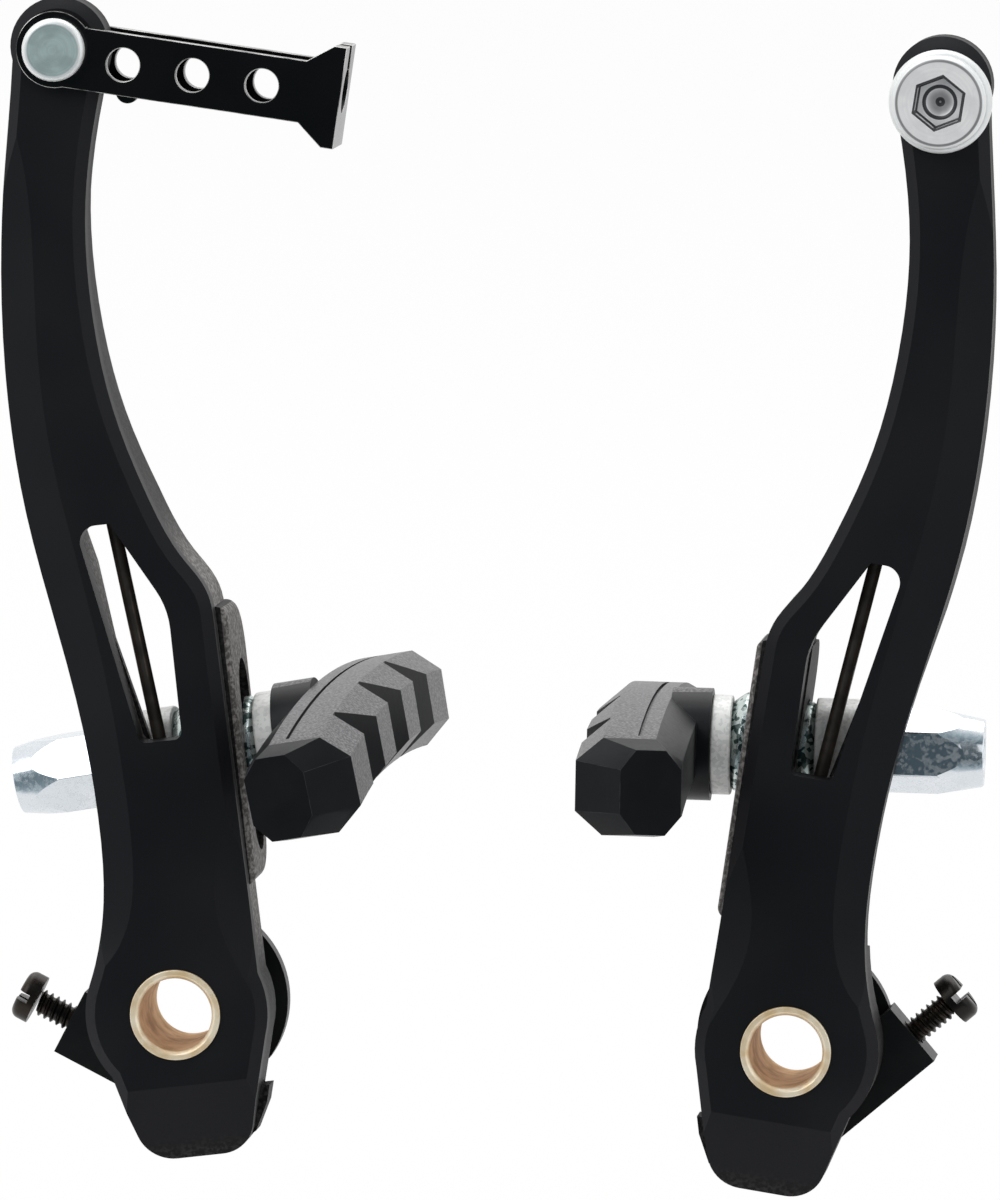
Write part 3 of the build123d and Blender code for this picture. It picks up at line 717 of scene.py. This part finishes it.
class Piece:
    """A bmesh on its way to becoming one named object of the brake."""

    crease: float = math.radians(40)
    flat: float = math.radians(0.4)
    on_plane: float = 1e-7
    round_profile: float = 0.5

    def __init__(self, name: str) -> None:
        """Start an empty mesh.

        Args:
            name: The finished object's name.
        """
        self.name = name
        self.bm = bmesh.new()

    @classmethod
    def from_node(cls, frame: Mapping[str, Any], node: str) -> Piece:
        """Start from a merged copy of a CAD node.

        Args:
            frame: The loaded frame.
            node: The node's name.

        Returns:
            The new piece.
        """
        piece = cls(f"{node}_dressed")
        bm = piece.bm
        bm.from_mesh(frame["nodes"][node].data)
        piece.merge()
        bmesh.ops.dissolve_limit(bm, angle_limit=cls.flat, verts=bm.verts, edges=bm.edges)
        return piece

    def merge(self, distance: float = 0.002 * MM) -> None:
        """Join vertices that share a place."""
        bmesh.ops.remove_doubles(self.bm, verts=self.bm.verts, dist=distance)

    def keep_side(self, point: Vector, normal: Vector) -> None:
        """Cut the mesh at a plane, keep the side the normal points away from, and close the cut.

        Args:
            point: A point on the plane.
            normal: The plane's normal, towards what goes.
        """
        everything = [*self.bm.verts, *self.bm.edges, *self.bm.faces]
        cut = bmesh.ops.bisect_plane(
            self.bm, geom=everything, plane_co=point, plane_no=normal, dist=self.on_plane, clear_outer=True)
        rim = [item for item in cut["geom_cut"] if isinstance(item, bmesh.types.BMEdge)]
        bmesh.ops.contextual_create(self.bm, geom=rim)

    def round_edges(self, edge: EdgeBreak) -> None:
        """Round the sharp edges and mark the new faces as rounded edges.

        Args:
            edge: Which edges are rounded, and how far.
        """
        bm = self.bm
        rounded_edge = bm.faces.layers.float.new(ROUNDED_EDGE)
        sharp = [line for line in bm.edges if line.is_manifold and line.calc_face_angle(0.0) > edge.angle]
        made = bmesh.ops.bevel(
            bm, geom=sharp, offset=edge.width, offset_type="OFFSET", segments=edge.segments,
            profile=self.round_profile, affect="EDGES", clamp_overlap=True, material=-1)
        for face in made["faces"]:
            face[rounded_edge] = 1.0

    def mark_pale_sheen(self, chosen: Callable[[bmesh.types.BMFace], bool]) -> None:
        """Mark the faces that a test chooses for a painted pale sheen, which on the pad also stands for
        grinding.

        Args:
            chosen: The test, which is given each face.
        """
        pale_sheen = self.bm.faces.layers.float.new(PALE_SHEEN)
        self.bm.normal_update()
        for face in self.bm.faces:
            face[pale_sheen] = float(chosen(face))

    def creased(self, line: bmesh.types.BMEdge) -> bool:
        """Whether the faces beside an edge turn by more than the crease angle."""
        return line.calc_face_angle(0.0) > self.crease

    def done(
        self,
        material: bpy.types.Material,
        crisp: Callable[[bmesh.types.BMEdge], bool] | None = None,
    ) -> bpy.types.Object:
        """Make the object.

        Args:
            material: The piece's finish.
            crisp: The test for an edge that stays sharp, where the crease angle isn't right for the piece.

        Returns:
            The new object, at the origin.
        """
        stays_sharp = crisp or self.creased
        self.bm.normal_update()
        for face in self.bm.faces:
            face.smooth = True
        for line in self.bm.edges:
            line.smooth = not stays_sharp(line)
        mesh = bpy.data.meshes.new(self.name)
        self.bm.to_mesh(mesh)
        self.bm.free()
        mesh.materials.append(material)
        made = bpy.data.objects.new(self.name, mesh)
        bpy.context.scene.collection.objects.link(made)
        shading = made.modifiers.new("even_shading", "WEIGHTED_NORMAL")
        shading.keep_sharp = True
        LOG.info("made %s", self.name)
        return made


class Workshop:
    """The loaded frame and the finishes, with the calls that dress and seat a piece."""

    def __init__(self) -> None:
        """Load the frame, keep its box and make the finishes."""
        self.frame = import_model()
        self.cad_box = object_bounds()
        self.finishes = Finishes()
        record = self.frame["record"]
        self.body_of = {node: body for body, nodes in record["behaviour"]["bodies"].items() for node in nodes}
        self.slot_of = {part["node"]: part["material_slot"] for part in record["subparts"]}
        self.joint_axis = {joint["name"]: Vector(joint["axis"]) for joint in record["behaviour"]["joints"]}

    def stand_in(self, node: str) -> None:
        """Hide the CAD node that a piece stands in for."""
        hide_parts(node)

    def seat(self, made: bpy.types.Object, node: str) -> bpy.types.Object:
        """Hide a piece's CAD node and put the piece on that node's body."""
        self.stand_in(node)
        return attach(made, self.body_of[node])

    def dress(
        self,
        node: str,
        material: bpy.types.Material,
        edge: EdgeBreak = EdgeBreak(),
    ) -> bpy.types.Object:
        """Dress a CAD node as a merged copy with rounded edges.

        Args:
            node: The node's name.
            material: Its finish.
            edge: How its sharp edges are rounded.

        Returns:
            The dressed copy.
        """
        piece = Piece.from_node(self.frame, node)
        piece.round_edges(edge)
        return self.seat(piece.done(material), node)


@dataclass
class ArmFrame:
    """Where one arm's own frame lies: X inward to the rim and Z along the arm."""

    side: Side
    head_node: str

    def matrix(self) -> Matrix:
        """Find the arm's frame from its post and its head.

        Returns:
            The turn and move from the arm's frame to the brake's.
        """
        post = middle(self.side.piece("pivot_bush"))
        head = middle(self.head_node) - post
        turn = Matrix.Rotation(math.atan2(head.x, head.z), 4, "Y")
        flip = Matrix.Scale(self.side.inward, 4, Vector((1, 0, 0)))
        return Matrix.Translation((post.x, 0, post.z)) @ turn @ flip


@dataclass
class ForgedArm:
    """The painted arm and the brass bush in its boss."""

    side: Side
    corner: EdgeBreak = EdgeBreak(0.3 * MM, 3, math.radians(18))
    bush_corner: EdgeBreak = EdgeBreak(0.15 * MM)
    pale_sheen_look: float = 0.5
    bore_reach: float = 4.2 * MM
    bore_slant: float = 0.3

    def build(self, shop: Workshop) -> None:
        """Dress the arm, marked for a painted pale sheen where it faces the rim, and its bush.

        Args:
            shop: The frame and finishes.
        """
        arm = Piece.from_node(shop.frame, self.side.piece("arm"))
        arm.round_edges(self.corner)
        arm.mark_pale_sheen(lambda face: face.normal.x * self.side.inward > self.pale_sheen_look)
        shop.seat(arm.done(shop.finishes.arm), self.side.piece("arm"))
        bush = shop.dress(self.side.piece("pivot_bush"), shop.finishes.bush, self.bush_corner)
        self.shade_bore(shop, bush)

    def shade_bore(self, shop: Workshop, bush: bpy.types.Object) -> None:
        """Give the inner wall of the bush a darker, browner, unshining copy of the brass: painted shade
        inside the hole.

        Args:
            shop: The frame and finishes.
            bush: The dressed bush.
        """
        across, up = shop.finishes.axis(self.side.piece("pivot_bush"))
        bush.data.materials.append(shop.finishes.bore_shade)
        for face in bush.data.polygons:
            reach = math.hypot(face.center.x - across, face.center.z - up)
            face.material_index = int(reach < self.bore_reach and abs(face.normal.y) < self.bore_slant)


@dataclass
class SpringUnit:
    """The holder behind the boss with its pin, tension screw and bent wire."""

    place: ArmFrame
    head: float = 2.1 * MM
    head_trim: float = 0.02 * MM
    tip_reach: float = 0.01 * MM
    crest: float = 1.5 * MM
    root: float = 1.15 * MM
    pitch: float = 0.75 * MM
    weld: float = 0.005 * MM
    steps: int = 20
    leave: Vector = Vector((6.4, -4.6, 2.4)) * MM
    window: Vector = Vector((2.3, -11.1, 20.0)) * MM
    corner: EdgeBreak = EdgeBreak(0.3 * MM)
    head_corner: EdgeBreak = EdgeBreak(0.12 * MM, 2)

    def build(self, shop: Workshop) -> None:
        """Dress the holder and its pin, and make the screw and the wire.

        Args:
            shop: The frame and finishes.
        """
        side = self.place.side
        shop.dress(side.piece("spring_holder"), shop.finishes.plastic, self.corner)
        shop.dress(side.piece("holder_pin"), shop.finishes.steel)
        shop.seat(self.screw(shop), side.piece("tension_screw"))
        self.spring(shop)

    def screw(self, shop: Workshop) -> bpy.types.Object:
        """The CAD screw's head on a shank with a real thread.

        Args:
            shop: The frame and finishes.

        Returns:
            The screw.
        """
        side = self.place.side
        piece = Piece.from_node(shop.frame, side.piece("tension_screw"))
        ahead = shop.joint_axis[side.piece("tension_screw_travel")].normalized()
        reach = [vert.co.dot(ahead) for vert in piece.bm.verts]
        ring = [vert.co for vert in piece.bm.verts if vert.co.dot(ahead) > max(reach) - self.tip_reach]
        tip = sum(ring, Vector()) / len(ring)
        length = max(reach) - min(reach) - self.head
        under = tip - ahead * length
        piece.keep_side(under + ahead * self.head_trim, ahead)
        piece.round_edges(self.head_corner)
        self.thread(piece, under, ahead, length)
        return piece.done(shop.finishes.screw)

    def thread(self, piece: Piece, under: Vector, ahead: Vector, length: float) -> None:
        """Spin a thread's profile down the shank and close its tip.

        Args:
            piece: The screw.
            under: The middle of the head's underside.
            ahead: The way the screw points.
            length: The shank's length.
        """
        bm = piece.bm
        out = ahead.orthogonal().normalized()
        turns = int(length / self.pitch) - 1
        # One turn of the profile, each point as a radius and a share of the pitch.
        section = (
            (self.root, 0.0), (self.root, 0.2), (self.crest, 0.45),
            (self.crest, 0.6), (self.root, 0.85), (self.root, 1.0))
        spots = [under + ahead * (self.pitch * share) + out * radius for radius, share in section]
        points = [bm.verts.new(spot) for spot in spots]
        lines = [bm.edges.new(pair) for pair in zip(points, points[1:])]
        bmesh.ops.spin(
            bm, geom=[*points, *lines], cent=under, axis=ahead, angle=math.tau * turns,
            steps=self.steps * turns, dvec=ahead * (self.pitch / self.steps))
        piece.merge(self.weld)
        bmesh.ops.holes_fill(bm, edges=[line for line in bm.edges if line.is_boundary], sides=0)
        bmesh.ops.recalc_face_normals(bm, faces=bm.faces)

    def spring(self, shop: Workshop) -> None:
        """Dress the wire and let it bend between the holder and the arm.

        Args:
            shop: The frame and finishes.
        """
        node = self.place.side.piece("return_spring")
        made = Piece.from_node(shop.frame, node).done(shop.finishes.wire)
        shop.stand_in(node)
        matrix = self.place.matrix()
        start = matrix @ self.leave
        end = matrix @ self.window
        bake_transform(made, "spring_holders", shop.body_of[node], start=start, end=end)


@dataclass
class BrakeShoe:
    """The pad, its stud and nut, and the ball washers that hold it on the arm."""

    side: Side
    pad_corner: EdgeBreak = EdgeBreak(0.3 * MM, 2, math.radians(20))
    nut_corner: EdgeBreak = EdgeBreak(0.2 * MM, 3, math.radians(40))
    nut_slant: float = 0.06
    washer_corner: EdgeBreak = EdgeBreak()
    ridge_slant: float = 0.28
    back_look: float = -0.3
    front_look: float = 0.8
    groove_depth: float = 1.0 * MM
    end_parts: int = 10

    def build(self, shop: Workshop) -> None:
        """Dress the shoe's pieces.

        Args:
            shop: The frame and finishes.
        """
        finishes = shop.finishes
        self.pad(shop)
        self.nut(shop)
        shop.dress(self.side.piece("shoe_stud"), finishes.steel)
        for place in ("inner", "outer"):
            shop.dress(self.side.piece(f"{place}_dome_washer"), finishes.dome, self.washer_corner)
            shop.dress(self.side.piece(f"{place}_cup_washer"), finishes.cup, self.washer_corner)
        shop.dress(self.side.piece("flat_washer"), finishes.cup, self.washer_corner)

    def stud(self, shop: Workshop) -> Vector:
        """The way the stud lies, which is the axis the shoe turns on."""
        return shop.joint_axis[self.side.piece("shoe_turn")]

    def nut(self, shop: Workshop) -> None:
        """Dress the nut, with a crisp line where its flats run out into its round nose.

        Args:
            shop: The frame and finishes.
        """
        node = self.side.piece("cap_nut")
        stud = self.stud(shop)
        piece = Piece.from_node(shop.frame, node)
        piece.round_edges(self.nut_corner)
        rounded = piece.bm.faces.layers.float[ROUNDED_EDGE]

        def crisp(line: bmesh.types.BMEdge) -> bool:
            """Test for two unrounded faces that slant differently to the stud.

            Args:
                line: The edge between the faces.

            Returns:
                Whether the edge stays sharp.
            """
            slants = [face.normal.dot(stud) for face in line.link_faces]
            rounded_edge = any(face[rounded] for face in line.link_faces)
            return len(slants) == 2 and not rounded_edge and abs(slants[0] - slants[1]) > self.nut_slant

        shop.seat(piece.done(shop.finishes.chrome, crisp), node)

    def pad(self, shop: Workshop) -> None:
        """Dress the pad, pale on the ridges of its friction side where grinding has roughened the rubber,
        with a painted sheen there too.

        Args:
            shop: The frame and finishes.
        """
        node = self.side.piece("brake_pad")
        stud = self.stud(shop)
        inward = stud if stud.x * self.side.inward > 0 else -stud
        piece = Piece.from_node(shop.frame, node)
        piece.round_edges(self.pad_corner)
        length = self.pad_length(piece)
        front = max(vert.co.dot(inward) for vert in piece.bm.verts)

        def ground_sheen(face: bmesh.types.BMFace) -> bool:
            """Test for a face that runs along the pad, on its friction side and outside the hollows between
            its ridges.

            Args:
                face: The pad's face.

            Returns:
                Whether the face is painted pale, for grinding and a painted sheen.
            """
            look = face.normal.dot(inward)
            deep = face.calc_center_median().dot(inward) < front - self.groove_depth
            in_groove = deep and look > self.front_look
            runs_along = abs(face.normal.dot(length)) < self.ridge_slant
            return runs_along and look > self.back_look and not in_groove

        piece.mark_pale_sheen(ground_sheen)
        shop.seat(piece.done(shop.finishes.rubber), node)

    def pad_length(self, piece: Piece) -> Vector:
        """Find the way the pad points, from the middle of its back tenth to the middle of its front tenth.

        Args:
            piece: The pad.

        Returns:
            The direction.
        """
        points = sorted((vert.co for vert in piece.bm.verts), key=lambda point: point.y)
        count = len(points) // self.end_parts
        return (sum(points[:count], Vector()) - sum(points[-count:], Vector())).normalized()


@dataclass
class GuideBracket:
    """The folded cable guide bracket and the rivet it swings on."""

    corner: EdgeBreak = EdgeBreak(0.32 * MM)
    rivet_corner: EdgeBreak = EdgeBreak(0.15 * MM)

    def build(self, shop: Workshop) -> None:
        """Dress the bracket and its rivet."""
        shop.dress("cable_bracket", shop.finishes.bracket, self.corner)
        shop.dress("bracket_rivet", shop.finishes.rivet, self.rivet_corner)


@dataclass
class CableAnchor:
    """The bolt and washer that clamp the cable."""

    corner: EdgeBreak = EdgeBreak(0.22 * MM)

    def build(self, shop: Workshop) -> None:
        """Dress the bolt and its washer."""
        for node in ("cable_anchor_bolt", "cable_anchor_washer"):
            shop.dress(node, shop.finishes.anchor, self.corner)


@dataclass(frozen=True)
class Softbox:
    """A square lamp aimed at the brake."""

    name: str
    place: tuple[float, float, float]
    size: float
    power: float
    aim: tuple[float, float, float] = (0.034, 0.0, 0.05)

    def hang(self) -> None:
        """Hang the lamp in the scene."""
        light = bpy.data.lights.new(self.name, "AREA")
        light.size = self.size
        light.energy = self.power
        lamp = bpy.data.objects.new(self.name, light)
        turn = (Vector(self.place) - Vector(self.aim)).to_track_quat("Z", "Y").to_matrix().to_4x4()
        lamp.matrix_world = Matrix.Translation(self.place) @ turn
        bpy.context.scene.collection.objects.link(lamp)


@dataclass
class Studio:
    """The camera, the pale floor, the lamps and the white surroundings."""

    azimuth: float = math.radians(5.5)
    elevation: float = math.radians(5.7)
    roll: float = math.radians(2.75)
    distance: float = 1.5
    sensor: float = 36.0
    nearest: float = 0.05
    frame_height: float = 131.9 * MM
    anchor: Vector = Vector((0, -16.3 * MM, 0))
    anchor_right: float = -35.75 * MM
    anchor_up: float = -45.65 * MM
    floor_drop: float = 32 * MM
    floor_size: float = 3.0
    floor_back: float = 2.95
    floor_colour: Colour = (0.9, 0.9, 0.9)
    floor_seen: float = 0.96
    floor_mirrored: float = 0.8
    soft_light: float = 0.5
    lens_side: float = 0.1
    lens_band: Band = (0.1, 0.92)
    lens_tint: Colour = (0.6, 0.86, 1.0)
    lamps: tuple[Softbox, ...] = (
        Softbox("key_softbox", (-0.8, -0.9, 1.0), 1.2, 10.0),
        Softbox("fill_softbox", (1.1, -0.8, 0.4), 1.1, 3.5),
        Softbox("top_softbox", (0.05, 0.5, 1.3), 1.3, 9.0))

    def build(self) -> None:
        """Set the stage."""
        scene = bpy.context.scene
        scene.view_settings.view_transform = "Standard"
        self.camera(scene)
        self.floor()
        self.world(scene)
        for lamp in self.lamps:
            lamp.hang()

    def away(self) -> Vector:
        """The way from the brake to the lens."""
        level = math.cos(self.elevation)
        return Vector((
            math.sin(self.azimuth) * level, -math.cos(self.azimuth) * level, math.sin(self.elevation)))

    def camera(self, scene: bpy.types.Scene) -> None:
        """Place the long lens at the photograph's angle.

        Args:
            scene: The scene that gets the camera.
        """
        away = self.away()
        turn = away.to_track_quat("Z", "Y").to_matrix() @ Matrix.Rotation(self.roll, 3, "Z")
        centre = self.anchor - turn.col[0] * self.anchor_right - turn.col[1] * self.anchor_up
        lens = bpy.data.cameras.new("long_lens")
        lens.sensor_fit = "VERTICAL"
        lens.sensor_height = self.sensor
        lens.lens = self.sensor * self.distance / self.frame_height
        lens.clip_start = self.nearest
        camera = bpy.data.objects.new("long_lens", lens)
        camera.matrix_world = Matrix.Translation(centre + away * self.distance) @ turn.to_4x4()
        scene.collection.objects.link(camera)
        scene.camera = camera

    def floor(self) -> None:
        """Lay a pale floor that looks white to the camera and keeps a soft shadow."""
        piece = Piece("pale_floor")
        bmesh.ops.create_grid(piece.bm, x_segments=1, y_segments=1, size=self.floor_size)
        bmesh.ops.translate(piece.bm, verts=piece.bm.verts, vec=(0, self.floor_back, -self.floor_drop))
        material = bpy.data.materials.new("pale_floor")
        graph = Graph(material)
        pale = graph.node("ShaderNodeBsdfDiffuse", inputs={"Color": (*self.floor_colour, 1.0)})
        white = graph.node("ShaderNodeEmission", inputs={"Color": (*WHITE, 1.0), "Strength": 1.0})
        share = graph.ray("Camera") * self.floor_seen + graph.ray("Glossy") * self.floor_mirrored
        shader = graph.node("ShaderNodeMixShader", inputs={0: share, 1: pale, 2: white})
        graph.end("ShaderNodeOutputMaterial", shader)
        piece.done(material)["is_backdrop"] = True

    def world(self, scene: bpy.types.Scene) -> None:
        """Surround the brake with white, softer as light, and dark behind the lens for metal to mirror.

        Args:
            scene: The scene that gets the surroundings.
        """
        scene.world = bpy.data.worlds.new("white_studio")
        graph = Graph(scene.world)
        seen = graph.ray("Camera")
        clear = graph.ray("Transmission")
        shine = graph.ray("Glossy")
        look = graph.node("ShaderNodeTexCoord", output="Generated")
        settings = {"operation": "DOT_PRODUCT"}
        facing = graph.node("ShaderNodeVectorMath", settings, {0: look, 1: self.away()}, "Value")
        dark = facing.spread(*self.lens_band) * shine
        mirrored = shine * (1 - dark * (1 - self.lens_side))
        soft = (1 - seen - clear - shine) * self.soft_light
        tint = graph.mix(dark, WHITE, self.lens_tint)
        inputs = {"Color": tint, "Strength": seen + clear + mirrored + soft}
        graph.end("ShaderNodeOutputWorld", graph.node("ShaderNodeBackground", inputs=inputs))


def main() -> None:
    """Build and dress the brake, then set the studio round it."""
    logging.basicConfig(level=logging.INFO, format="%(name)s: %(message)s")
    shop = Workshop()
    for place in (ArmFrame(Side.LEFT, "bracket_rivet"), ArmFrame(Side.RIGHT, "cable_anchor_bolt")):
        ForgedArm(place.side).build(shop)
        SpringUnit(place).build(shop)
        BrakeShoe(place.side).build(shop)
    GuideBracket().build(shop)
    CableAnchor().build(shop)
    Studio().build()


if __name__ == "__main__":
    main()
